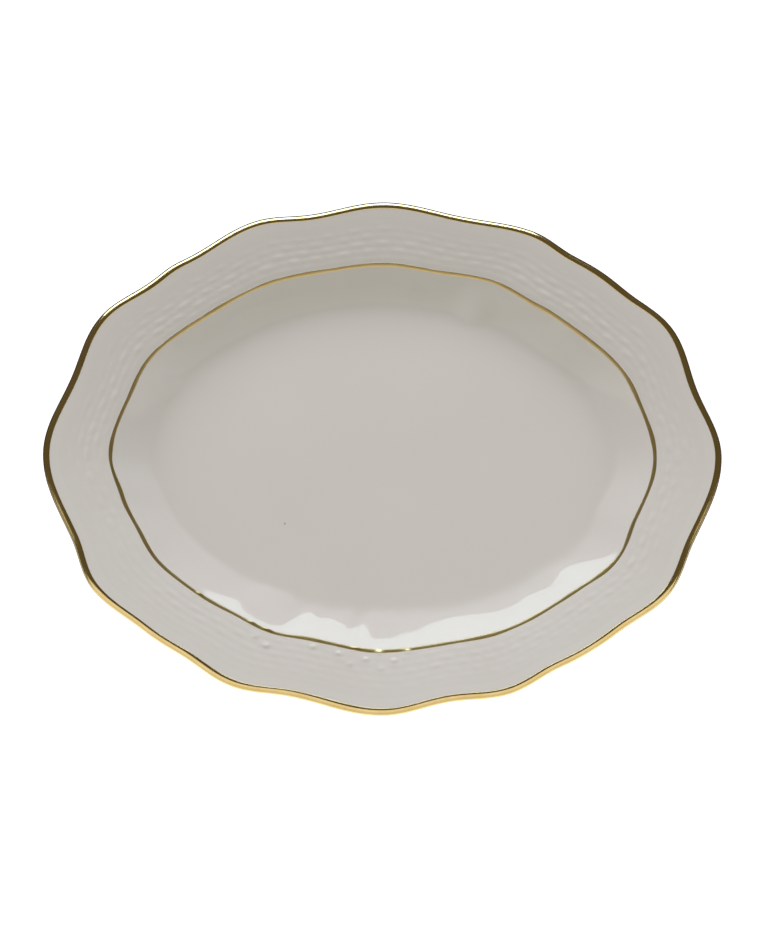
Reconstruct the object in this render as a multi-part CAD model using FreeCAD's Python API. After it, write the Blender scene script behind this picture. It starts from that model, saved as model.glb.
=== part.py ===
import FreeCAD, Part
import math
import os

# A lobed oval serving platter in glazed, gilt porcelain, in millimetres.
# It stands on the tread of its oval foot ring, at z = 0. The origin is the middle of the oval,
# +X runs along the long axis and +Z is up.
#
# Every surface is a skin of rings. A ring is given by a station of three numbers:
#   inset   how far its oval lies inside the platter's full oval,
#   height  its height above the tread,
#   reach   which lobed outline it takes: 3 is the edge's, 2 the verge's, 1 the knee's low on the
#           wall, and 0 the plain oval. A ring between two of these takes a blend of them.

# Overall size, over the gilding
LENGTH = 381.0
BREADTH = 292.1

# Heights
FOOT_HEIGHT = 5.5          # tread to the underside inside the foot ring
FLOOR_THICKNESS = 4.6
CAVETTO_DEPTH = 13.1       # well floor to the verge, where the flange begins
RIM_RISE = 8.1             # verge to the lip
LIP_THICKNESS = 4.0
RIM_THICKNESS = 4.2        # of the flange beside the verge

# Insets and widths
VERGE_INSET = 35.8
CAVETTO_RUN = 29.0         # width of the wall, from the gold line in to the flat of the well
FOOT_INSET = 53.2          # outside of the foot ring at its root
FOOT_ROOT_WIDTH = 7.2
TREAD_WIDTH = 4.2

# Coatings
GLAZE = 0.35
GILDING = 0.20
BARE_TREAD_HEIGHT = 1.3    # the glaze stops this far above the tread
BAND_WIDTH = 4.2           # gold band, from the edge in over the lip
UNDER_BAND_WIDTH = 3.0
LINE_WIDTH = 2.1           # gold line on the verge

# Lobed outlines: (angle round the oval in degrees, how far the outline lies inside the oval).
# Four crests stand on the two axes and two more in each quarter. On the edge, the hollow between
# the two in a quarter has a low swelling in its middle. The verge repeats the lobes more softly.
# The knee, low on the wall, is pressed and smoothed by hand and is the least even of the three.
EDGE_LOBES = [
    (0.0, 0.0), (16.0, 5.9), (31.0, 0.6), (42.5, 4.1), (49.0, 3.7), (54.5, 4.0), (63.0, 1.0), (76.0, 3.8),
    (90.0, 0.0), (102.5, 3.7), (112.5, 0.3), (126.0, 4.7), (130.0, 4.2), (135.0, 4.9), (147.5, 0.5),
    (162.5, 5.6),
    (180.0, 0.0), (200.5, 5.7), (212.0, 0.9), (225.0, 4.4), (233.0, 4.8), (244.0, 1.1), (255.0, 5.0),
    (270.0, 0.0), (282.0, 4.8), (292.0, 1.7), (302.0, 5.3), (308.0, 5.0), (315.0, 5.1), (327.5, 0.9),
    (340.0, 5.1), (360.0, 0.0),
]
VERGE_LOBES = [
    (0.0, 0.8), (16.0, 2.7), (26.0, 1.8), (44.0, 3.6), (54.0, 2.9), (67.0, -0.5), (78.0, 1.0),
    (90.0, -0.7), (103.0, 0.6), (113.0, 0.2), (133.0, 2.6), (149.0, 0.9), (163.0, 3.4),
    (180.0, 1.4), (193.0, 4.7), (203.0, 5.3), (215.0, 3.0), (225.0, 3.6), (235.0, 3.6), (247.0, 1.6),
    (255.0, 3.3), (270.0, 0.4), (284.0, 1.8), (296.0, 0.6), (314.0, 2.4), (328.0, 0.0), (341.0, 4.0),
    (360.0, 0.8),
]
KNEE_LOBES = [
    (0.0, 0.8), (20.0, 2.8), (31.0, 1.3), (46.0, 3.0), (62.0, 0.3), (68.4, 3.8), (74.0, -0.1),
    (90.0, -0.9), (115.0, -0.1), (130.0, 0.8), (148.0, 0.5), (153.0, 3.2), (159.0, 1.6),
    (180.0, 1.6), (196.0, 5.2), (212.0, 5.0), (224.0, 4.8), (235.4, 4.0), (241.0, 5.4), (245.5, 5.0),
    (251.5, 1.3), (254.5, 2.4), (257.0, 1.8), (260.5, 2.2), (262.5, 2.7), (265.0, 0.6), (268.6, 2.9),
    (270.6, 2.4), (272.2, 2.9), (275.0, 2.0), (278.0, 2.2), (282.6, 1.3), (288.0, 0.7), (297.0, 0.9),
    (306.0, 0.9), (313.0, 2.3), (322.5, 0.2), (330.0, 0.9), (341.0, 4.0), (360.0, 0.8),
]
LOBE_DIP = 0.18            # drop of the edge in a hollow, per millimetre that it lies further in

RING_POLES = 180
SEWING_GAP = 0.001

# Heights that follow from the driving ones
UNDERSIDE = FOOT_HEIGHT
WELL_FLOOR = UNDERSIDE + FLOOR_THICKNESS
VERGE_HEIGHT = WELL_FLOOR + CAVETTO_DEPTH
RIM_HEIGHT = VERGE_HEIGHT + RIM_RISE


def lobe_depth(lobes, degrees):
    """How far a lobed outline lies inside its oval, at an angle round it."""
    for (start, first), (end, last) in zip(lobes, lobes[1:]):
        if start <= degrees <= end:
            turn = math.pi * (degrees - start) / (end - start)
            return first + (last - first) * (1 - math.cos(turn)) / 2
    raise ValueError(degrees)


def shares(reach):
    """How much of the knee's, the verge's and the edge's outline a reach takes."""
    return max(1 - abs(reach - 1), 0), max(1 - abs(reach - 2), 0), max(reach - 2, 0)


def ring_point(station, degrees):
    """A point of a station's ring, moved in from its oval along the oval's normal."""
    inset, height, reach = station
    half_length = LENGTH / 2 - inset
    half_breadth = BREADTH / 2 - inset
    angle = math.radians(degrees)
    outward = FreeCAD.Vector(math.cos(angle) / half_length, math.sin(angle) / half_breadth, 0)
    outward.normalize()
    knee, verge, edge = shares(reach)
    edge_depth = lobe_depth(EDGE_LOBES, degrees)
    depth = (lobe_depth(KNEE_LOBES, degrees) * knee + lobe_depth(VERGE_LOBES, degrees) * verge
             + edge_depth * edge)
    dip = LOBE_DIP * edge_depth * (verge / 2 + edge)
    oval = FreeCAD.Vector(half_length * math.cos(angle), half_breadth * math.sin(angle), height)
    return oval - outward * depth - FreeCAD.Vector(0, 0, dip)


def ring_poles(station):
    """Control points of the closed cubic curve that passes through a station's ring."""
    points = [ring_point(station, 360.0 * i / RING_POLES) for i in range(RING_POLES)]
    poles = []
    for i, point in enumerate(points):
        before = points[i - 1]
        after = points[(i + 1) % RING_POLES]
        poles.append(point - (before - point * 2 + after) / 6)
    return poles


def skin(stations):
    """A ring-shaped face from the first station to the last, with the others as its control rings."""
    degree = min(3, len(stations) - 1)
    spans = len(stations) - degree
    surface = Part.BSplineSurface()
    surface.buildFromPolesMultsKnots(
        [ring_poles(station) for station in stations],
        [degree + 1] + [1] * (spans - 1) + [degree + 1],
        [1] * (RING_POLES + 1),
        [float(i) for i in range(spans + 1)],
        [float(i) for i in range(RING_POLES + 1)],
        False, True, degree, 3)
    return surface.toShape()


def ring_wire(station):
    """The closed curve through a station's ring."""
    curve = Part.BSplineCurve()
    curve.buildFromPolesMultsKnots(
        ring_poles(station), [1] * (RING_POLES + 1), [float(i) for i in range(RING_POLES + 1)], True, 3)
    return Part.Wire([curve.toShape()])


def cap(station):
    """The flat face inside a level ring."""
    return Part.Face(ring_wire(station))


def level_ring(outer, inner):
    """The flat face between two level rings at one height."""
    return Part.makeFace([ring_wire(outer), ring_wire(inner)], "Part::FaceMakerBullseye")


def closed_solid(faces):
    """The solid that the faces enclose."""
    shape = Part.Compound(faces)
    shape.sewShape(SEWING_GAP)
    solid = Part.Solid(shape.Shells[0])
    if solid.Volume < 0:
        solid.reverse()
    return solid


def offset(profile, distance):
    """A profile of joined stretches, moved to the left of its run towards the edge by a distance."""
    path = [profile[0][0]] + [station for stretch in profile for station in stretch[1:]]
    runs = []
    for (inset, height, _), (next_inset, next_height, _) in zip(path, path[1:]):
        length = math.hypot(next_inset - inset, next_height - height)
        runs.append(((next_height - height) / length, (inset - next_inset) / length))
    moved = []
    for i, (inset, height, reach) in enumerate(path):
        before = runs[max(i - 1, 0)]
        after = runs[min(i, len(runs) - 1)]
        miter = distance / (1 + before[0] * after[0] + before[1] * after[1])
        inset_change = (before[0] + after[0]) * miter
        height_change = (before[1] + after[1]) * miter
        moved.append((inset + inset_change, height + height_change, reach))
    stretches = []
    first = 0
    for stretch in profile:
        last = first + len(stretch) - 1
        stretches.append(moved[first:last + 1])
        first = last
    return stretches


def stretch(start, run, rise, reach, shape):
    """Control stations outwards from a start, by a run and a rise, to a reach.

    The shape lists each further station as (share of the run, share of the rise)."""
    inset, height, first_reach = start
    gain = reach - first_reach
    return [start] + [(inset - run * along, height + rise * up, first_reach + gain * along)
                      for along, up in shape]


def cavetto_stretch():
    """The wall from the well up to the gold line: a hollow foot, the knee, and a slope that steepens.

    The shape lists (share of the run, share of the rise, reach)."""
    start = (VERGE_INSET + CAVETTO_RUN, WELL_FLOOR, 0.0)
    run = CAVETTO_RUN - LINE_WIDTH / 2
    rise = CAVETTO_DEPTH * 0.96
    shape = [
        (0.12, 0.0, 0.4), (0.25, 0.015, 0.8), (0.36, 0.09, 1.0), (0.50, 0.259, 1.25),
        (0.65, 0.463, 1.52), (0.80, 0.683, 1.8), (0.92, 0.87, 2.0), (1.0, 1.0, 2.0),
    ]
    return [start] + [(start[0] - run * along, start[1] + rise * up, reach)
                      for along, up, reach in shape]


def verge_stretch(start):
    """The narrow band under the gold line, where the wall turns into the flange."""
    rise = VERGE_HEIGHT + 0.2 - start[1]
    return stretch(start, LINE_WIDTH, rise, 2.0, [(0.33, 0.38), (0.67, 0.70), (1.0, 1.0)])


def flange_stretch(start):
    """The wide flange, from the gold line to the gold band, very slightly hollow."""
    rise = RIM_HEIGHT - 0.15 - start[1]
    shape = [(0.06, 0.085), (0.16, 0.19), (0.47, 0.50), (0.82, 0.84), (1.0, 1.0)]
    return stretch(start, start[0] - BAND_WIDTH, rise, 3.0, shape)


def lip_over_stretch(start):
    """The upper side of the lip: it levels out under the gold, then rolls over to the edge."""
    inset, height, reach = start
    edge_inset = GLAZE + GILDING
    return [
        start,
        (inset * 0.86, height + 0.10, reach),
        (inset * 0.62, height - 0.15, reach),
        (edge_inset, height - LIP_THICKNESS * 0.29, reach),
        (edge_inset, height - LIP_THICKNESS * 0.65, reach),
    ]


def lip_under_stretch(start, top):
    """The underside of the lip, back to where the gold band ends below."""
    inset, height, reach = start
    bottom = top - LIP_THICKNESS
    return [
        start,
        (inset, height - LIP_THICKNESS * 0.15, reach),
        ((inset + UNDER_BAND_WIDTH) / 2, bottom + 0.3, reach),
        (UNDER_BAND_WIDTH, bottom, reach),
    ]


def back_flange_stretch(start):
    """The back of the flange, a little steeper than its face, so that it thickens inwards."""
    run = start[0] - VERGE_INSET + 1.0
    rise = VERGE_HEIGHT - RIM_THICKNESS - start[1]
    return stretch(start, run, rise, 2.0, [(0.18, 0.17), (0.53, 0.51), (0.86, 0.83), (1.0, 1.0)])


def back_wall_stretch(start):
    """The back of the wall, down to the root of the foot ring."""
    shape = [(0.14, 0.10), (0.32, 0.33), (0.63, 0.74), (0.84, 0.97), (1.0, 1.0)]
    return stretch(start, start[0] - FOOT_INSET, UNDERSIDE - start[1], 0.0, shape)


def foot_outer_stretch():
    """The outside of the foot ring, from its root down to where the glaze ends."""
    lean = (FOOT_ROOT_WIDTH - TREAD_WIDTH) * 0.4
    return [(FOOT_INSET, UNDERSIDE, 0.0), (FOOT_INSET + lean, BARE_TREAD_HEIGHT, 0.0)]


def foot_inner_stretch():
    """The inside of the foot ring, from its root down to where the glaze ends."""
    root = FOOT_INSET + FOOT_ROOT_WIDTH
    lean = (FOOT_ROOT_WIDTH - TREAD_WIDTH) * 0.6
    return [(root, UNDERSIDE, 0.0), (root - lean, BARE_TREAD_HEIGHT, 0.0)]


def tread_round(corner, side):
    """The bare round from where the glaze ends to the flat of the tread: side is +1 outside, -1 inside."""
    inset, height, reach = corner
    return [corner, (inset + side * 0.2, 0.2, reach), (inset + side * height * 0.8, 0.0, reach)]


def biscuit_profile():
    """The unglazed body's outline, from the well out over the lip and back to the foot ring."""
    cavetto = cavetto_stretch()
    verge = verge_stretch(cavetto[-1])
    flange = flange_stretch(verge[-1])
    lip_over = lip_over_stretch(flange[-1])
    lip_under = lip_under_stretch(lip_over[-1], flange[-1][1])
    back_flange = back_flange_stretch(lip_under[-1])
    back_wall = back_wall_stretch(back_flange[-1])
    return [cavetto, verge, flange, lip_over, lip_under, back_flange, back_wall]


def skins(profile):
    """One face for each stretch of a profile."""
    return [skin(stretch) for stretch in profile]


def biscuit_body(profile):
    """The pressed porcelain oval, without its foot."""
    return closed_solid([cap(profile[0][0]), cap(profile[-1][-1])] + skins(profile))


def foot_ring():
    """The oval ring that is luted to the underside. Its bare, rounded tread has a flat for the table."""
    outer = foot_outer_stretch()
    inner = foot_inner_stretch()
    outer_round = tread_round(outer[-1], 1)
    inner_round = tread_round(inner[-1], -1)
    root = level_ring(outer[0], inner[0])
    tread = level_ring(outer_round[-1], inner_round[-1])
    return closed_solid(skins([outer, inner, outer_round, inner_round]) + [root, tread])


def glaze_coat(profile):
    """The glaze over the face, the lip and the back, down the outside of the foot ring."""
    covered = profile + [foot_outer_stretch()]
    surface = offset(covered, GLAZE)
    end = [covered[-1][-1], surface[-1][-1]]
    caps = [cap(covered[0][0]), cap(surface[0][0])]
    return closed_solid(caps + skins(covered + surface + [end]))


def glaze_inside_foot():
    """The glaze on the underside, inside the foot ring and down its inner wall."""
    wall = foot_inner_stretch()
    flat = [(wall[0][0] + FOOT_ROOT_WIDTH, UNDERSIDE, 0.0), wall[0]]
    surface = offset([flat, wall], -GLAZE)
    end = [wall[-1], surface[1][-1]]
    caps = [cap(wall[0]), cap(surface[1][0])]
    return closed_solid(caps + skins([wall, surface[1], end]))


def gilding(profile, first, last):
    """A film of gold on the glaze over the profile's stretches from first to last."""
    glaze = offset(profile, GLAZE)[first:last + 1]
    gold = offset(profile, GLAZE + GILDING)[first:last + 1]
    ends = [[glaze[0][0], gold[0][0]], [glaze[-1][-1], gold[-1][-1]]]
    return closed_solid(skins(glaze + gold + ends))


def main():
    os.makedirs("parts", exist_ok=True)
    profile = biscuit_profile()
    parts = {
        "biscuit_body": biscuit_body(profile),
        "foot_ring": foot_ring(),
        "glaze_coat": glaze_coat(profile),
        "glaze_inside_foot": glaze_inside_foot(),
        "gilt_edge_band": gilding(profile, 3, 4),
        "gilt_verge_line": gilding(profile, 1, 1),
    }
    for name, shape in parts.items():
        shape.exportStep("parts/" + name + ".step")
        box = shape.BoundBox
        print(name, "valid", shape.isValid(), "closed", shape.isClosed(), "volume", round(shape.Volume, 1),
              "x", round(box.XMin, 2), round(box.XMax, 2), "y", round(box.YMin, 2), round(box.YMax, 2),
              "z", round(box.ZMin, 2), round(box.ZMax, 2))


main()
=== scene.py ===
import math

import bpy
import numpy as np
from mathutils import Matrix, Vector


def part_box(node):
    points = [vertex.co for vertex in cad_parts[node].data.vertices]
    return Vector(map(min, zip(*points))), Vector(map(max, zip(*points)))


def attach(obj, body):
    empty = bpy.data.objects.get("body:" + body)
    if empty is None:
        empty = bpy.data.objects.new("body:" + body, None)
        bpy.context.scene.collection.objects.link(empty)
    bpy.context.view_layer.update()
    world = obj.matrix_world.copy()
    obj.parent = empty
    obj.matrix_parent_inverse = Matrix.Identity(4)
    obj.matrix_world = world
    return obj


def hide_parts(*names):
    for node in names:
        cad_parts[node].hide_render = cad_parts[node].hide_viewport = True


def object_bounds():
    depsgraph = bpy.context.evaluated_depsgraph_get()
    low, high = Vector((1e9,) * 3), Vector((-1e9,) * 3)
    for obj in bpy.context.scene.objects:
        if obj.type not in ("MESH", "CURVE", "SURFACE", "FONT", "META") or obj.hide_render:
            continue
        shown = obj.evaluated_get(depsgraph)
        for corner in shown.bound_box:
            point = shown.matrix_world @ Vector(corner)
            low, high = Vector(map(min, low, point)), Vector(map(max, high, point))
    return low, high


# A lobed oval porcelain platter with a basket-weave flange and gilding, seen from almost overhead.
# Lengths are in metres unless a comment says otherwise. The surfaces follow the same rings as the
# CAD model. A ring is given by a station of three numbers:
#   inset   how far its oval lies inside the platter's full oval,
#   height  its height above the tread of the foot ring,
#   reach   which lobed outline it takes: 3 is the edge's, 2 the verge's, 1 the knee's low on the
#           wall, and 0 the plain oval. A ring between two of these takes a blend of them.

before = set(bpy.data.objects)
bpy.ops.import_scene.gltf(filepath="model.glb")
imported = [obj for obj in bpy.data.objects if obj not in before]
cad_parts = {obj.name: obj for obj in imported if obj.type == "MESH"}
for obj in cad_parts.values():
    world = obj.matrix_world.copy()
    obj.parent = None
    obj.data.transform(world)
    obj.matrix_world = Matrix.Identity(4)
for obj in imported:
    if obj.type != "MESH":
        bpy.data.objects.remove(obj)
cad_low, cad_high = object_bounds()

MM = 0.001

# Sizes read from the frame
HALF_LENGTH = cad_high.x
HALF_BREADTH = cad_high.y
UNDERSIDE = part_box("biscuit_body")[0].z
RIM_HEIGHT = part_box("biscuit_body")[1].z

# Sizes of the body
FLOOR_THICKNESS = 4.6 * MM
CAVETTO_DEPTH = 13.1 * MM       # well floor to the verge, where the flange begins
WALL_RISE = 0.96 * CAVETTO_DEPTH    # as far as the inner border of the gold line
LIP_THICKNESS = 4.0 * MM
RIM_THICKNESS = 4.2 * MM        # of the flange beside the verge
VERGE_INSET = 35.8 * MM
CAVETTO_RUN = 29.0 * MM         # width of the wall, from the gold line in to the flat of the well
FOOT_INSET = 53.2 * MM          # outside of the foot ring at its root
FOOT_ROOT_WIDTH = 7.2 * MM
FOOT_LEAN = 1.2 * MM            # how far the foot ring's side slants in
WELL_FLOOR = UNDERSIDE + FLOOR_THICKNESS
VERGE_HEIGHT = WELL_FLOOR + CAVETTO_DEPTH

# Coatings
GLAZE = 0.35 * MM
BARE_TREAD = 1.3 * MM           # the glaze stops this far above the tread
GILDING = 0.12 * MM
FILM_ROOT = 0.08 * MM           # how far the gold reaches into the glaze
EDGE_FILM = 0.55 * MM           # inset of the biscuit's edge, under the glaze and the gold
BAND_WIDTH = 4.2 * MM           # gold band, from the edge in over the lip
UNDER_BAND_WIDTH = 3.0 * MM
LINE_WIDTH = 2.1 * MM           # gold line on the verge

# Lobed outlines: (angle round the oval in degrees, millimetres that the outline lies inside it).
# Four crests stand on the two axes and two more in each quarter. The verge repeats the edge's
# lobes more softly, and the knee is the least even of the three.
EDGE_LOBES = [
    (0.0, 0.0), (16.0, 5.9), (31.0, 0.6), (42.5, 4.1), (49.0, 3.7), (54.5, 4.0), (63.0, 1.0), (76.0, 3.8),
    (90.0, 0.0), (102.5, 3.7), (112.5, 0.3), (126.0, 4.7), (130.0, 4.2), (135.0, 4.9), (147.5, 0.5),
    (162.5, 5.6),
    (180.0, 0.0), (200.5, 5.7), (212.0, 0.9), (225.0, 4.4), (233.0, 4.8), (244.0, 1.1), (255.0, 5.0),
    (270.0, 0.0), (282.0, 4.8), (292.0, 1.7), (302.0, 5.3), (308.0, 5.0), (315.0, 5.1), (327.5, 0.9),
    (340.0, 5.1), (360.0, 0.0),
]
VERGE_LOBES = [
    (0.0, 0.8), (16.0, 2.7), (26.0, 1.8), (44.0, 3.6), (54.0, 2.9), (67.0, -0.5), (78.0, 1.0),
    (90.0, -0.7), (103.0, 0.6), (113.0, 0.2), (133.0, 2.6), (149.0, 0.9), (163.0, 3.4),
    (180.0, 1.4), (193.0, 4.7), (203.0, 5.3), (215.0, 3.0), (225.0, 3.6), (235.0, 3.6), (247.0, 1.6),
    (255.0, 3.3), (270.0, 0.4), (284.0, 1.8), (296.0, 0.6), (314.0, 2.4), (328.0, 0.0), (341.0, 4.0),
    (360.0, 0.8),
]
KNEE_LOBES = [
    (0.0, 0.8), (20.0, 2.8), (31.0, 1.3), (46.0, 3.0), (62.0, 0.3), (68.4, 3.8), (74.0, -0.1),
    (90.0, -0.9), (115.0, -0.1), (130.0, 0.8), (148.0, 0.5), (153.0, 3.2), (159.0, 1.6),
    (180.0, 1.6), (196.0, 5.2), (212.0, 5.0), (224.0, 4.8), (235.4, 4.0), (241.0, 5.4), (245.5, 5.0),
    (251.5, 1.3), (254.5, 2.4), (257.0, 1.8), (260.5, 2.2), (262.5, 2.7), (265.0, 0.6), (268.6, 2.9),
    (270.6, 2.4), (272.2, 2.9), (275.0, 2.0), (278.0, 2.2), (282.6, 1.3), (288.0, 0.7), (297.0, 0.9),
    (306.0, 0.9), (313.0, 2.3), (322.5, 0.2), (330.0, 0.9), (341.0, 4.0), (360.0, 0.8),
]
LOBE_DIP = 0.18             # drop of the edge in a hollow, as a share of how far it lies further in
PLAIN_OVAL = (0.0, 0.0, 0.0)    # takes nothing of the knee's, the verge's or the edge's outline

# Basket weave on the flange
WEAVE_ROWS = 6
WEAVE_WAVES = 60            # over-and-under waves of a strand, all the way round
WEAVE_HEIGHT = 0.18 * MM
ROW_HEIGHTS = [0.8, 1.8, 1.7, 1.0, 0.8, 0.7]    # of each row of strands, against the height above
STRAND_REACH = 0.62         # from the middle of a strand to its border, in rows
STAKE_HEIGHT = 0.45         # of a stake where it shows, against a strand
WEAVE_START = 0.6 * MM      # outside the gold line
WEAVE_END = 5.0 * MM        # inside the gold band
FADE_IN = 0.10              # share of the weave's band over which it rises beside the gold line
FADE_OUT = 0.30             # and over which it sinks towards the lip

# Grains of the weave that stand proud on the near side, some of them under the gold line:
# (x, y, height) of each, in millimetres
GRAINS = [
    (-101.5, -78.4, 0.5), (-72.1, -94.2, 0.5), (-63.4, -97.9, 0.5), (-14.1, -108.2, 0.6),
    (-1.0, -110.6, 0.55), (15.0, -110.0, 0.5),
    (-70.0, -102.0, 0.7), (-64.0, -107.4, 0.8), (-37.7, -107.6, 0.75), (-23.5, -111.3, 0.8),
    (-8.4, -114.5, 0.85), (7.4, -115.1, 0.85), (-17.0, -117.2, 0.7), (0.4, -119.6, 0.7),
]
GRAIN_LENGTH = 1.9 * MM
GRAIN_WIDTH = 1.25 * MM

# Vertices round a ring
FINE_RING = 960
RING = 480
INNER_RING = 240

# Rings over a flat oval floor: (share of the floor's size, how many times fewer vertices)
FLOOR_RINGS = [(0.03, 16), (0.08, 16), (0.16, 8), (0.28, 8), (0.42, 4), (0.58, 4), (0.74, 2), (0.88, 2)]

# How many stretches of the profile, counted from the well, lie before the end of each part
WALL_END = 1
LINE_END = 2
FLANGE_END = 3
LIP_END = 5
BACK_END = 6
FOOT_ROOT = 7

# Tones
PORCELAIN_WARM = (0.795, 0.765, 0.728)
PORCELAIN_COOL = (0.805, 0.778, 0.742)
POOLED_GLAZE = (0.66, 0.65, 0.61, 1.0)
IRON_FLECK = (0.42, 0.38, 0.33, 1.0)
MARK = (0.30, 0.27, 0.23, 1.0)
BISCUIT_GREY = (0.66, 0.62, 0.56)
BISCUIT_PALE = (0.78, 0.75, 0.69)
GRIT = (0.45, 0.40, 0.34, 1.0)
GOLD_DEEP = (0.83, 0.65, 0.34)
GOLD_PALE = (0.89, 0.72, 0.42)
BLACK = (0.0, 0.0, 0.0)
WHITE = (1.0, 1.0, 1.0)

# Marks in the glaze: (x, y, radius, strength)
BLEMISHES = [
    (-55 * MM, -37 * MM, 1.0 * MM, 0.55),
    (115 * MM, -40 * MM, 0.6 * MM, 0.4),
    (19 * MM, 101 * MM, 11.0 * MM, 0.05),
]


# ---------------------------------------------------------------- outlines and profiles

def lobe_depth(lobes, degrees):
    """How far a lobed outline lies inside its oval, at each angle."""
    turns, depths = np.array(lobes).T
    i = np.clip(np.searchsorted(turns, degrees, side="right") - 1, 0, len(turns) - 2)
    part = (degrees - turns[i]) / (turns[i + 1] - turns[i])
    return MM * (depths[i] + (depths[i + 1] - depths[i]) * (1 - np.cos(np.pi * part)) / 2)


class Round:
    """The angles of a ring's vertices, with all that depends on the angle alone."""

    def __init__(self, count):
        self.count = count
        self.degrees = np.arange(count) * 360.0 / count
        self.cos = np.cos(np.radians(self.degrees))
        self.sin = np.sin(np.radians(self.degrees))
        self.edge = lobe_depth(EDGE_LOBES, self.degrees)
        self.verge = lobe_depth(VERGE_LOBES, self.degrees)
        self.knee = lobe_depth(KNEE_LOBES, self.degrees)
        self.along = arc_share(self.degrees)

    def wander(self, seed, waves, size):
        """A smooth unevenness round the ring, with as many waves as given and about the given size."""
        total = np.zeros(self.count)
        for k in range(1, waves + 1):
            phase = math.sin(seed * 12.9898 + k * 78.233) * 43758.5453
            total += np.sin(np.radians(self.degrees) * k + phase) / math.sqrt(waves)
        return total * size


def arc_share(degrees):
    """How far round the middle of the flange each angle is, from 0 to 1."""
    fine = np.radians(np.arange(0, 3601) / 10.0)
    middle = VERGE_INSET / 2
    speed = np.hypot((HALF_LENGTH - middle) * np.sin(fine), (HALF_BREADTH - middle) * np.cos(fine))
    length = np.concatenate([[0.0], np.cumsum((speed[1:] + speed[:-1]) / 2)])
    return np.interp(np.radians(degrees), fine, length / length[-1])


def shares(reach):
    """How much of the knee's, the verge's and the edge's outline a reach takes."""
    knee = max(1 - abs(reach - 1), 0)
    verge = max(1 - abs(reach - 2), 0)
    edge = max(reach - 2, 0)
    return knee, verge, edge


def ring_points(round_, inset, height, outline, out=0.0, up=0.0):
    """A ring's points. out and up move them along the oval's normal and upwards, and may vary round it."""
    half_length = HALF_LENGTH - inset
    half_breadth = HALF_BREADTH - inset
    normal_x = round_.cos / half_length
    normal_y = round_.sin / half_breadth
    size = np.hypot(normal_x, normal_y)
    knee, verge, edge = outline
    move = (out - round_.knee * knee - round_.verge * verge - round_.edge * edge) / size
    x = half_length * round_.cos + move * normal_x
    y = half_breadth * round_.sin + move * normal_y
    z = height - LOBE_DIP * round_.edge * (verge / 2 + edge) + up
    return np.column_stack([x, y, z])


def stretch(start, run, rise, reach, shape):
    """Control stations from a start, over a run towards the edge and a rise.

    The shape is (share of the run, share of the rise), and the reach goes evenly with the run."""
    inset, height, first_reach = start
    stations = [start]
    for along, up in shape:
        blend = first_reach + (reach - first_reach) * along
        stations.append((inset - run * along, height + rise * up, blend))
    return stations


def face_profile():
    """The face in three stretches outwards: the wall, the verge under the gold line, and the flange."""
    run = CAVETTO_RUN - LINE_WIDTH / 2
    foot = (VERGE_INSET + CAVETTO_RUN, WELL_FLOOR, 0.0)
    shape = [(0.12, 0.0, 0.4), (0.25, 0.015, 0.8), (0.36, 0.09, 1.0), (0.50, 0.259, 1.25),
             (0.65, 0.463, 1.52), (0.80, 0.683, 1.8), (0.92, 0.87, 2.0), (1.0, 1.0, 2.0)]
    cavetto = [foot]
    for along, up, reach in shape:
        cavetto.append((foot[0] - run * along, foot[1] + WALL_RISE * up, reach))

    start = cavetto[-1]
    verge_top = VERGE_HEIGHT + 0.2 * MM
    shape = [(0.33, 0.38), (0.67, 0.70), (1.0, 1.0)]
    verge = stretch(start, LINE_WIDTH, verge_top - start[1], 2.0, shape)

    start = verge[-1]
    flange_top = RIM_HEIGHT - 0.15 * MM
    shape = [(0.06, 0.085), (0.16, 0.19), (0.47, 0.50), (0.82, 0.84), (1.0, 1.0)]
    flange = stretch(start, start[0] - BAND_WIDTH, flange_top - start[1], 3.0, shape)
    return [cavetto, verge, flange]


def lip_profile(start):
    """The lip in two stretches, from the flange's face round its full edge to its back."""
    inset, height, reach = start
    over = [
        start,
        (inset * 0.86, height + 0.10 * MM, reach),
        (inset * 0.62, height - 0.15 * MM, reach),
        (EDGE_FILM, height - LIP_THICKNESS * 0.29, reach),
        (EDGE_FILM, height - LIP_THICKNESS * 0.65, reach),
    ]
    bottom = height - LIP_THICKNESS
    under = [
        over[-1],
        (EDGE_FILM, height - LIP_THICKNESS * 0.80, reach),
        ((EDGE_FILM + UNDER_BAND_WIDTH) / 2, bottom + 0.3 * MM, reach),
        (UNDER_BAND_WIDTH, bottom, reach),
    ]
    return [over, under]


def back_profile(start):
    """The back in three stretches: under the flange, down the wall, and down the foot ring's outside."""
    rise = VERGE_HEIGHT - RIM_THICKNESS - start[1]
    shape = [(0.18, 0.17), (0.53, 0.51), (0.86, 0.83), (1.0, 1.0)]
    flange = stretch(start, start[0] - VERGE_INSET + 1.0 * MM, rise, 2.0, shape)

    start = flange[-1]
    shape = [(0.14, 0.10), (0.32, 0.33), (0.63, 0.74), (0.84, 0.97), (1.0, 1.0)]
    wall = stretch(start, start[0] - FOOT_INSET, UNDERSIDE - start[1], 0.0, shape)

    foot = [wall[-1], (FOOT_INSET + FOOT_LEAN, BARE_TREAD, 0.0)]
    return [flange, wall, foot]


def biscuit_profile():
    """The body's outline in stretches, from the well out over the lip and back to the foot ring."""
    face = face_profile()
    lip = lip_profile(face[-1][-1])
    return face + lip + back_profile(lip[-1][-1])


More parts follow.
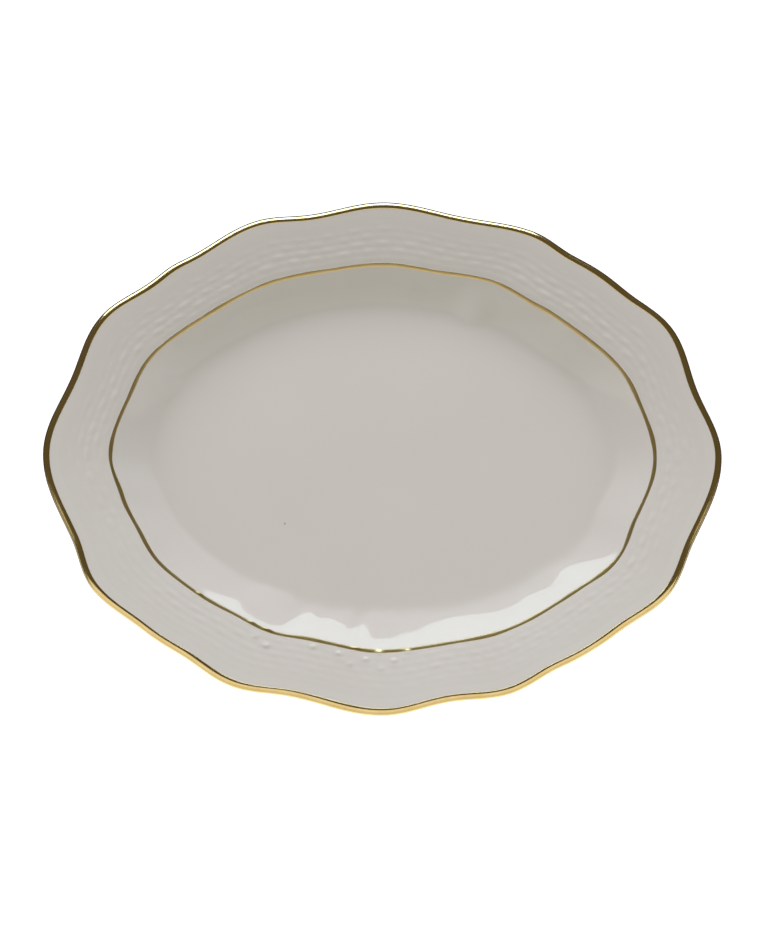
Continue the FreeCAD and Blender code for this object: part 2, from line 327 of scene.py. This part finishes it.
def spline_point(controls, position):
    """A point of the clamped, evenly knotted cubic B-spline with these control points."""
    degree = min(3, len(controls) - 1)
    spans = len(controls) - degree
    knots = [0.0] * degree + [float(k) for k in range(spans + 1)] + [float(spans)] * degree
    span = min(int(position), spans - 1) + degree
    points = [np.array(controls[span - degree + j]) for j in range(degree + 1)]
    for level in range(1, degree + 1):
        for j in range(degree, level - 1, -1):
            low = knots[span - degree + j]
            high = knots[span + 1 + j - level]
            share = (position - low) / (high - low)
            points[j] = points[j - 1] * (1 - share) + points[j] * share
    return points[degree]


def sample(controls, count):
    """Stations evenly along a stretch, with both ends."""
    spans = len(controls) - min(3, len(controls) - 1)
    return [spline_point(controls, spans * i / count) for i in range(count + 1)]


class Line:
    """A profile sampled finely, so that any distance along it gives a station and its outward normal."""

    def __init__(self, stretches):
        stations = []
        for controls in stretches:
            controls = [(inset, height, *shares(reach)) for inset, height, reach in controls]
            points = sample(controls, 60)
            stations.extend(points if not stations else points[1:])
        self.stations = np.array(stations)
        steps = np.diff(self.stations[:, :2], axis=0)
        self.far = np.concatenate([[0.0], np.cumsum(np.hypot(steps[:, 0], steps[:, 1]))])
        tangent = np.gradient(self.stations[:, :2], self.far, axis=0)
        size = np.hypot(tangent[:, 0], tangent[:, 1])
        # On the face's way out to the edge, the outside is on the left.
        self.normal_out = -tangent[:, 1] / size
        self.normal_up = -tangent[:, 0] / size

    def length(self):
        return self.far[-1]

    def at(self, far):
        """Inset, height, the three shares of the outlines, and the normal's two parts, at a distance."""
        columns = list(self.stations.T) + [self.normal_out, self.normal_up]
        return [np.interp(far, self.far, column) for column in columns]

    def ring(self, round_, far, lift=0.0):
        """A ring of points at a distance along the line, lifted off the surface."""
        inset, height, knee, verge, edge, normal_out, normal_up = self.at(far)
        outline = (knee, verge, edge)
        return ring_points(round_, inset, height, outline, normal_out * lift, normal_up * lift)


def length_to(profile, stretches):
    """The distance along a profile to the end of its first few stretches."""
    return Line(profile[:stretches]).length()


# ---------------------------------------------------------------- meshes

class Shell:
    """Rings of vertices stitched into one mesh, with a number called tint at each vertex.

    On the glaze it says how deep the glaze pools, and on the gold how satin the gold is."""

    def __init__(self):
        self.points = []
        self.faces = []
        self.tints = []

    def ring(self, points, tint=0.0):
        """Adds a ring of vertices and gives its numbers."""
        first = len(self.points)
        self.points.extend(points.tolist())
        self.tints.extend((np.zeros(len(points)) + tint).tolist())
        return list(range(first, first + len(points)))

    def stitch(self, first, second):
        """Faces between two rings, of which one may have twice as many vertices as the other."""
        if len(first) == len(second):
            n = len(first)
            for i in range(n):
                k = (i + 1) % n
                self.faces.append((first[i], second[i], second[k], first[k]))
            return
        flip = len(second) < len(first)
        fine, coarse = (first, second) if flip else (second, first)
        n = len(coarse)
        for i in range(n):
            k = (i + 1) % n
            a, b, c = fine[2 * i], fine[2 * i + 1], fine[(2 * i + 2) % len(fine)]
            for face in [(coarse[i], a, b), (coarse[i], b, coarse[k]), (coarse[k], b, c)]:
                self.faces.append(tuple(reversed(face)) if flip else face)

    def join(self, rings):
        """Stitches each ring to the next."""
        for first, second in zip(rings, rings[1:]):
            self.stitch(first, second)

    def fan(self, ring, height, outwards=True):
        """Closes a small ring with triangles to its middle."""
        middle = len(self.points)
        self.points.append([0.0, 0.0, height])
        self.tints.append(0.0)
        n = len(ring)
        for i in range(n):
            face = (middle, ring[i], ring[(i + 1) % n])
            self.faces.append(face if outwards else tuple(reversed(face)))

    def build(self, name):
        """Makes the mesh and its object."""
        mesh = bpy.data.meshes.new(name)
        mesh.from_pydata(self.points, [], self.faces)
        mesh.validate()
        mesh.shade_smooth()
        tint = mesh.attributes.new("tint", "FLOAT", "POINT")
        tint.data.foreach_set("value", self.tints)
        piece = bpy.data.objects.new(name, mesh)
        bpy.context.scene.collection.objects.link(piece)
        return piece


def floor_rings(shell, edge_inset, height, count):
    """Rings over a flat oval floor, from the middle outwards, with fewer vertices as they shrink."""
    rings = []
    for share, divide in FLOOR_RINGS:
        round_ = Round(count // divide)
        half_length = (HALF_LENGTH - edge_inset) * share
        half_breadth = (HALF_BREADTH - edge_inset) * share
        heights = height + np.zeros(round_.count)
        points = np.column_stack([half_length * round_.cos, half_breadth * round_.sin, heights])
        rings.append(shell.ring(points))
    return rings


def smooth_rings(shell, line, round_, distances, lift):
    """Rings with no relief, at these distances along a line."""
    return [shell.ring(line.ring(round_, far, lift)) for far in distances]


# ---------------------------------------------------------------- the basket weave

def weave_height(round_, share):
    """Height of the basket weave round a ring, at a share of the way out across its band.

    Strands run round the flange and pass over and under stakes that run across it, and each row
    of strands is half a wave on from the next. The glaze rounds everything over."""
    if share <= 0 or share >= 1:
        return np.zeros(round_.count)
    across = share * WEAVE_ROWS + round_.wander(3, 23, 0.08)
    total = np.zeros(round_.count)
    for row in range(WEAVE_ROWS):
        away = np.clip((across - row - 0.5) / STRAND_REACH, -1, 1)
        wave = 2 * np.pi * (WEAVE_WAVES * round_.along + 0.5 * row) + round_.wander(5 + row, 31, 0.45)
        over = (0.5 + 0.5 * np.cos(wave)) ** 1.8
        stake = STAKE_HEIGHT * (0.5 - 0.5 * np.cos(wave)) ** 5
        pressed = ROW_HEIGHTS[row] * (1 + round_.wander(50 + row, 47, 0.22))
        total += np.cos(np.pi / 2 * away) ** 2 * (over + stake) * pressed
    fade = min(share / FADE_IN, (1 - share) / FADE_OUT, 1.0)
    patchy = 0.95 + round_.wander(29, 9, 0.15)
    return WEAVE_HEIGHT * total * fade * fade * (3 - 2 * fade) * patchy


def grain_height(points):
    """How far the proud grains of the weave raise each point."""
    total = np.zeros(len(points))
    for x, y, height in GRAINS:
        along = (points[:, 0] - x * MM) / GRAIN_LENGTH
        across = (points[:, 1] - y * MM) / GRAIN_WIDTH
        total += height * MM * np.exp(-along ** 2 - across ** 2)
    return total


def grained_ring(line, round_, far, lift):
    """A ring of the glaze, or of the gold on it, raised over the proud grains."""
    return line.ring(round_, far, lift + grain_height(line.ring(round_, far, lift)))


def woven_rings(shell, line, round_, start, weave_from, weave_to, end):
    """Rings of the glaze from the gold line to the gold band, with the weave between two distances."""
    rings = []
    for far in np.linspace(start, end, 54)[1:]:
        share = (far - weave_from) / (weave_to - weave_from)
        weave = weave_height(round_, share)
        tint = 1 - np.clip(weave / WEAVE_HEIGHT, 0, 1) if 0 < share < 1 else 0.0
        rings.append(shell.ring(grained_ring(line, round_, far, GLAZE + weave), tint))
    return rings


# ---------------------------------------------------------------- pieces

def glazed_face_and_back(biscuit):
    """The glaze from the middle of the well over the flange and lip to the outside of the foot ring.

    It is a closed skin: its outside carries the weave, and its inside lies on the biscuit."""
    shell = Shell()
    fine = Round(FINE_RING)
    plain = Round(RING)
    line = Line(biscuit)
    well_inset = biscuit[0][0][0]
    verge_at = length_to(biscuit, WALL_END) + LINE_WIDTH / 2
    fine_from = verge_at - 2.4 * MM
    weave_from = length_to(biscuit, LINE_END) + WEAVE_START
    flange_to = length_to(biscuit, FLANGE_END)
    weave_to = flange_to - WEAVE_END
    lip_to = length_to(biscuit, LIP_END)
    back_to = length_to(biscuit, BACK_END)
    # The sharp corner at the foot ring's root is rounded over by the glaze.
    root_from = length_to(biscuit, FOOT_ROOT) - 1.0 * MM
    root_to = length_to(biscuit, FOOT_ROOT) + 0.6 * MM
    end = line.length()

    outside = floor_rings(shell, well_inset, WELL_FLOOR + GLAZE, RING)
    outside += smooth_rings(shell, line, plain, np.linspace(0, fine_from, 22), GLAZE)
    outside += smooth_rings(shell, line, fine, np.linspace(fine_from, verge_at, 6)[1:], GLAZE)
    outside += woven_rings(shell, line, fine, verge_at, weave_from, weave_to, flange_to)
    outside += smooth_rings(shell, line, plain, np.linspace(flange_to, lip_to, 15)[1:], GLAZE)
    outside += smooth_rings(shell, line, plain, np.linspace(lip_to, back_to, 13)[1:], GLAZE)
    outside += smooth_rings(shell, line, plain, np.linspace(back_to, root_from, 11)[1:], GLAZE)
    outside += smooth_rings(shell, line, plain, np.linspace(root_to, end, 6), GLAZE)

    inside = smooth_rings(shell, line, Round(INNER_RING), np.linspace(end, 0, 36), 0.0)
    inside += reversed(floor_rings(shell, well_inset, WELL_FLOOR, INNER_RING))
    shell.join(outside + inside)
    shell.fan(outside[0], WELL_FLOOR + GLAZE)
    shell.fan(inside[-1], WELL_FLOOR, outwards=False)
    return shell.build("glazed_face_and_back")


def glazed_underside():
    """The glaze inside the foot ring, with a slightly thickened rim where it was wiped off the tread."""
    shell = Shell()
    plain = Round(RING)
    root = FOOT_INSET + FOOT_ROOT_WIDTH
    # (inset, height) of the biscuit under the film, from the flat down the inside of the foot ring
    path = [(root + 6.0 * MM, UNDERSIDE), (root + 1.2 * MM, UNDERSIDE),
            (root + 0.3 * MM, UNDERSIDE - 0.3 * MM), (root - 0.3 * MM, UNDERSIDE - 1.2 * MM),
            (root - FOOT_LEAN * 1.5, BARE_TREAD)]
    flat_inset = path[0][0]
    end_inset, end_height = path[-1]
    rings = []
    for share in (0.04, 0.15, 0.35, 0.6, 0.85):
        points = ring_points(plain, flat_inset, UNDERSIDE - GLAZE, PLAIN_OVAL)
        points[:, :2] *= share
        rings.append(shell.ring(points))
    for inset, height in path[:-1]:
        rings.append(shell.ring(ring_points(plain, inset + GLAZE * 0.7, height - GLAZE, PLAIN_OVAL)))
    # The wiped rim: (further in, higher) than the end of the path, in glaze thicknesses
    for further, higher in ((0.9, 1.6), (1.25, 0.9), (1.15, 0.3), (0.5, 0.0), (0.0, 0.0)):
        inset = end_inset + GLAZE * further
        rings.append(shell.ring(ring_points(plain, inset, end_height + GLAZE * higher, PLAIN_OVAL)))
    for inset, height in reversed(path):
        rings.append(shell.ring(ring_points(plain, inset, height, PLAIN_OVAL)))
    rings.append(shell.ring(ring_points(plain, flat_inset + 30 * MM, UNDERSIDE, PLAIN_OVAL)))
    rings.reverse()
    shell.join(rings)
    shell.fan(rings[0], UNDERSIDE)
    shell.fan(rings[-1], UNDERSIDE - GLAZE, outwards=False)
    return shell.build("glazed_underside")


def film(name, line, round_, start, end, steps, thickness, satin):
    """A closed film of gold between two distances along a line, which may vary round it.

    It thins out over its last two steps at each border. satin is its tint."""
    shell = Shell()
    rings = []
    for i in range(steps + 1):
        share = i / steps
        from_border = min(share, 1 - share) * steps
        lift = GLAZE + thickness * min(0.5 + 0.25 * from_border, 1.0)
        rings.append(shell.ring(grained_ring(line, round_, start + (end - start) * share, lift), satin))
    for share in (1.0, 0.5, 0.0):
        rings.append(shell.ring(line.ring(round_, start + (end - start) * share, GLAZE - FILM_ROOT)))
    shell.join(rings + rings[:1])
    return shell.build(name)


def gilded_lip(biscuit):
    """The gold band over the lip, with borders that waver a little."""
    round_ = Round(FINE_RING)
    start = length_to(biscuit, FLANGE_END) + round_.wander(11, 17, 0.16 * MM)
    end = length_to(biscuit, LIP_END) + round_.wander(13, 29, 0.30 * MM)
    return film("gilded_lip", Line(biscuit), round_, start, end, 20, GILDING, 0.0)


def gilded_verge(biscuit):
    """The thin gold line on the verge, drawn by hand: it sways, and its width varies."""
    round_ = Round(FINE_RING)
    middle = length_to(biscuit, WALL_END) + LINE_WIDTH / 2
    sway = round_.wander(17, 13, 0.10 * MM)
    half = LINE_WIDTH * 0.5 * (1 + round_.wander(19, 37, 0.14))
    start = middle + (sway - half)
    end = middle + (sway + half)
    return film("gilded_verge", Line(biscuit), round_, start, end, 8, GILDING * 0.6, 1.0)


# ---------------------------------------------------------------- materials

def new_material(name):
    """A material with nothing but a Principled shader."""
    material = bpy.data.materials.new(name)
    material.use_nodes = True
    tree = material.node_tree
    tree.nodes.clear()
    output = tree.nodes.new("ShaderNodeOutputMaterial")
    shader = tree.nodes.new("ShaderNodeBsdfPrincipled")
    tree.links.new(shader.outputs["BSDF"], output.inputs["Surface"])
    return material, tree, shader


def node(tree, kind, inputs=None, **settings):
    """A node with its settings, and with a value or a link at each input given."""
    made = tree.nodes.new(kind)
    for key, value in settings.items():
        setattr(made, key, value)
    for key, value in (inputs or {}).items():
        if isinstance(value, bpy.types.NodeSocket):
            tree.links.new(value, made.inputs[key])
        else:
            made.inputs[key].default_value = value
    return made


def object_place(tree):
    """Each point's place on the object."""
    return node(tree, "ShaderNodeTexCoord").outputs["Object"]


def noise(tree, place, scale, detail=3.0):
    made = node(tree, "ShaderNodeTexNoise", {"Vector": place, "Scale": scale, "Detail": detail})
    return made.outputs["Fac"]


def ramp(tree, fac, stops):
    """A colour ramp with (position, colour) stops."""
    made = node(tree, "ShaderNodeValToRGB", {"Fac": fac})
    elements = made.color_ramp.elements
    while len(elements) < len(stops):
        elements.new(0.5)
    for element, (position, colour) in zip(elements, stops):
        element.position = position
        element.color = colour if len(colour) == 4 else (*colour, 1.0)
    return made.outputs["Color"]


def map_range(tree, value, low, high, to_low, to_high):
    """Maps the range from low to high to the one from to_low to to_high, and holds it there."""
    made = node(tree, "ShaderNodeMapRange", {
        "Value": value, "From Min": low, "From Max": high, "To Min": to_low, "To Max": to_high})
    return made.outputs["Result"]


def mix(tree, fac, first, second):
    """A blend of two colours."""
    made = node(tree, "ShaderNodeMix", data_type="RGBA", blend_type="MIX")
    for socket, value in (("Factor", fac), ("A", first), ("B", second)):
        target = [s for s in made.inputs if s.name == socket and s.enabled][0]
        if isinstance(value, bpy.types.NodeSocket):
            tree.links.new(value, target)
        else:
            target.default_value = value
    return [s for s in made.outputs if s.enabled][0]


def scattered_dots(tree, place, scale, radius):
    """Small soft dots, one to a cell of a Voronoi pattern: 1 in the middle of each and 0 outside."""
    cells = node(tree, "ShaderNodeTexVoronoi", {"Vector": place, "Scale": scale}, feature="F1")
    return ramp(tree, cells.outputs["Distance"], [(0.0, WHITE), (radius, BLACK)])


def bump(tree, height, strength, distance):
    made = node(tree, "ShaderNodeBump", {"Height": height, "Strength": strength, "Distance": distance})
    return made.outputs["Normal"]


def porcelain_material():
    """Warm white glazed porcelain, a touch darker where the glaze pools in the weave, with iron flecks."""
    material, tree, shader = new_material("glazed_porcelain")
    place = object_place(tree)
    cloud = ramp(tree, noise(tree, place, 14.0, 2.0), [(0.35, PORCELAIN_WARM), (0.65, PORCELAIN_COOL)])
    pool = node(tree, "ShaderNodeAttribute", attribute_name="tint").outputs["Fac"]
    pooled = mix(tree, map_range(tree, pool, 0.0, 1.0, 0.0, 0.10), cloud, POOLED_GLAZE)
    body = mix(tree, scattered_dots(tree, place, 55.0, 0.012), pooled, IRON_FLECK)
    for x, y, radius, strength in BLEMISHES:
        away = node(tree, "ShaderNodeVectorMath", {0: place, 1: (x, y, WELL_FLOOR)}, operation="DISTANCE")
        mark = map_range(tree, away.outputs["Value"], radius * 0.4, radius, strength, 0.0)
        body = mix(tree, mark, body, MARK)
    tree.links.new(body, shader.inputs["Base Color"])
    rough = map_range(tree, noise(tree, place, 30.0, 4.0), 0.3, 0.7, 0.02, 0.05)
    tree.links.new(rough, shader.inputs["Roughness"])
    peel = bump(tree, noise(tree, place, 260.0, 1.0), 0.25, 0.00006)
    tree.links.new(peel, shader.inputs["Normal"])
    shader.inputs["IOR"].default_value = 1.44
    return material


def biscuit_material():
    """Unglazed fired porcelain: chalky and faintly speckled."""
    material, tree, shader = new_material("bare_biscuit")
    place = object_place(tree)
    tone = ramp(tree, noise(tree, place, 120.0, 4.0), [(0.3, BISCUIT_GREY), (0.7, BISCUIT_PALE)])
    gritty = mix(tree, scattered_dots(tree, place, 420.0, 0.10), tone, GRIT)
    tree.links.new(gritty, shader.inputs["Base Color"])
    rough = map_range(tree, noise(tree, place, 300.0), 0.3, 0.7, 0.55, 0.8)
    tree.links.new(rough, shader.inputs["Roughness"])
    chalk = bump(tree, noise(tree, place, 1800.0, 3.0), 0.5, 0.00008)
    tree.links.new(chalk, shader.inputs["Normal"])
    return material


def gold_material():
    """Fired gold, brushed on by hand, with thin places and fine scratches. The tint makes it satin."""
    material, tree, shader = new_material("fired_gold")
    place = object_place(tree)
    tone = ramp(tree, noise(tree, place, 90.0, 3.0), [(0.3, GOLD_DEEP), (0.7, GOLD_PALE)])
    tree.links.new(tone, shader.inputs["Base Color"])
    scratched = map_range(tree, noise(tree, place, 220.0, 4.0), 0.3, 0.7, 0.14, 0.18)
    satin = node(tree, "ShaderNodeAttribute", attribute_name="tint").outputs["Fac"]
    rough = node(tree, "ShaderNodeMath", {0: satin, 1: 0.20, 2: scratched}, operation="MULTIPLY_ADD")
    tree.links.new(rough.outputs["Value"], shader.inputs["Roughness"])
    brushed = bump(tree, noise(tree, place, 900.0, 2.0), 0.05, 0.00003)
    tree.links.new(brushed, shader.inputs["Normal"])
    shader.inputs["Metallic"].default_value = 1.0
    return material


def floor_material():
    """A pale floor. To all but the camera it glows as painted light, bright in front of the platter and
    dark behind.
    """
    material, tree, shader = new_material("pale_floor")
    place = object_place(tree)
    tone = ramp(tree, noise(tree, place, 3.0, 2.0), [(0.3, (0.90, 0.90, 0.90)), (0.7, (0.92, 0.92, 0.92))])
    tree.links.new(tone, shader.inputs["Base Color"])
    shader.inputs["Roughness"].default_value = 0.9
    shader.inputs["Specular IOR Level"].default_value = 0.0
    shader.inputs["Emission Color"].default_value = (1.0, 1.0, 1.0, 1.0)
    shader.inputs["Emission Strength"].default_value = 0.75
    # Painted light: to rays other than the camera's the floor is an emission, bright in front of the
    # platter and dark behind.
    depth = node(tree, "ShaderNodeSeparateXYZ", {"Vector": place}).outputs["Y"]
    near = map_range(tree, depth, -0.05, -0.13, 0.0, 1.0)
    painted_glow_tone = ramp(tree, near, [(0.0, (0.05, 0.04, 0.05)), (1.0, (0.92, 1.0, 0.98))])
    unseen = node(tree, "ShaderNodeEmission", {"Color": painted_glow_tone, "Strength": 1.3})
    to_camera = node(tree, "ShaderNodeLightPath").outputs["Is Camera Ray"]
    both = node(tree, "ShaderNodeMixShader", {0: to_camera, 1: unseen.outputs[0], 2: shader.outputs[0]})
    output = [n for n in tree.nodes if n.type == "OUTPUT_MATERIAL"][0]
    tree.links.new(both.outputs[0], output.inputs["Surface"])
    return material


# ---------------------------------------------------------------- the studio

def add_floor():
    """The floor that the platter stands on."""
    size = 4.0
    mesh = bpy.data.meshes.new("studio_floor")
    corners = [(-size, -size, 0.0), (size, -size, 0.0), (size, size, 0.0), (-size, size, 0.0)]
    mesh.from_pydata(corners, [], [(0, 1, 2, 3)])
    floor = bpy.data.objects.new("studio_floor", mesh)
    bpy.context.scene.collection.objects.link(floor)
    mesh.materials.append(floor_material())


def add_softbox(name, turn, tilt, distance, width, height, radiance, mirrored=True, lit=True):
    """A soft light aimed at the platter, turned from +Y towards +X and tilted down from overhead.

    turn and tilt are in degrees. mirrored says whether it shows in reflections, and lit whether it
    lights matt surfaces."""
    light = bpy.data.lights.new(name, "AREA")
    light.shape = "RECTANGLE"
    light.size = width
    light.size_y = height
    strongest = max(radiance)
    light.color = [value / strongest for value in radiance]
    light.energy = strongest * math.pi * width * height
    place = bpy.data.objects.new(name, light)
    turn = math.radians(turn)
    tilt = math.radians(tilt)
    towards = Vector((math.sin(tilt) * math.sin(turn), math.sin(tilt) * math.cos(turn), math.cos(tilt)))
    place.location = towards * distance
    place.rotation_euler = towards.to_track_quat("Z", "Y").to_euler()
    place.visible_camera = False
    place.visible_glossy = mirrored
    place.visible_diffuse = lit
    bpy.context.scene.collection.objects.link(place)


def add_world():
    """Soft surroundings, a dark warm room in the reflections, and a pale backdrop past the floor."""
    world = bpy.data.worlds.new("studio")
    world.use_nodes = True
    tree = world.node_tree
    tree.nodes.clear()
    output = tree.nodes.new("ShaderNodeOutputWorld")
    soft = node(tree, "ShaderNodeBackground", {"Color": (0.98, 1.0, 0.93, 1.0), "Strength": 0.25})
    room = node(tree, "ShaderNodeBackground", {"Color": (1.0, 0.82, 0.40, 1.0), "Strength": 0.10})
    pale = node(tree, "ShaderNodeBackground", {"Color": (1.0, 1.0, 1.0, 1.0), "Strength": 1.0})
    path = node(tree, "ShaderNodeLightPath")
    mirrored = path.outputs["Is Glossy Ray"]
    to_camera = path.outputs["Is Camera Ray"]
    unseen = node(tree, "ShaderNodeMixShader", {0: mirrored, 1: soft.outputs[0], 2: room.outputs[0]})
    both = node(tree, "ShaderNodeMixShader", {0: to_camera, 1: unseen.outputs[0], 2: pale.outputs[0]})
    tree.links.new(both.outputs[0], output.inputs["Surface"])
    bpy.context.scene.world = world


def add_camera():
    """A long lens above the platter, leaning 9 degrees towards the near side."""
    elevation = math.radians(80.9)
    distance = 1.2
    middle = Vector((0.0, 0.0, RIM_HEIGHT - 1.7 * MM))
    aim = middle + Vector((-1.2 * MM, -11.6 * MM, 0.0))
    camera = bpy.data.cameras.new("camera")
    camera.lens = 81.1
    camera.sensor_width = 36.0
    place = bpy.data.objects.new("camera", camera)
    place.location = middle + Vector((0.0, -math.cos(elevation), math.sin(elevation))) * distance
    place.rotation_euler = (aim - place.location).to_track_quat("-Z", "Y").to_euler()
    bpy.context.scene.collection.objects.link(place)
    bpy.context.scene.camera = place


def add_lights():
    """The key makes the bright band on the near wall, and the front panels show in the gold."""
    add_softbox("key", -11, 73, 1.5, 1.9, 0.52, (3.3, 4.1, 4.1), lit=False)
    add_softbox("front", 180, 36, 1.5, 5.2, 0.75, (0.84, 0.79, 0.66))
    add_softbox("front_low", 180, 70, 1.5, 5.2, 1.05, (0.68, 0.62, 0.46), lit=False)
    add_softbox("rear_fill", 0, 64, 1.5, 3.0, 0.6, (2.25, 2.15, 2.15), mirrored=False)
    add_softbox("left_fill", -60, 70, 1.5, 1.5, 0.6, (2.4, 2.4, 2.75), mirrored=False)
    add_softbox("right_fill", 60, 70, 1.5, 1.5, 0.6, (1.5, 1.55, 1.9), mirrored=False)


def main():
    add_camera()
    add_world()
    add_floor()
    add_lights()
    bpy.context.scene.view_settings.view_transform = "Standard"

    porcelain = porcelain_material()
    biscuit = biscuit_material()
    gold = gold_material()
    profile = biscuit_profile()

    face = glazed_face_and_back(profile)
    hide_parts("glaze_coat")
    face.data.materials.append(porcelain)
    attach(face, "root")

    lip = gilded_lip(profile)
    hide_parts("gilt_edge_band")
    lip.data.materials.append(gold)
    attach(lip, "root")

    verge = gilded_verge(profile)
    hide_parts("gilt_verge_line")
    verge.data.materials.append(gold)
    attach(verge, "root")

    under = glazed_underside()
    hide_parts("glaze_inside_foot")
    under.data.materials.append(porcelain)
    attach(under, "root")

    for name in ("biscuit_body", "foot_ring"):
        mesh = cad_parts[name].data
        mesh.materials.clear()
        mesh.materials.append(biscuit)


main()
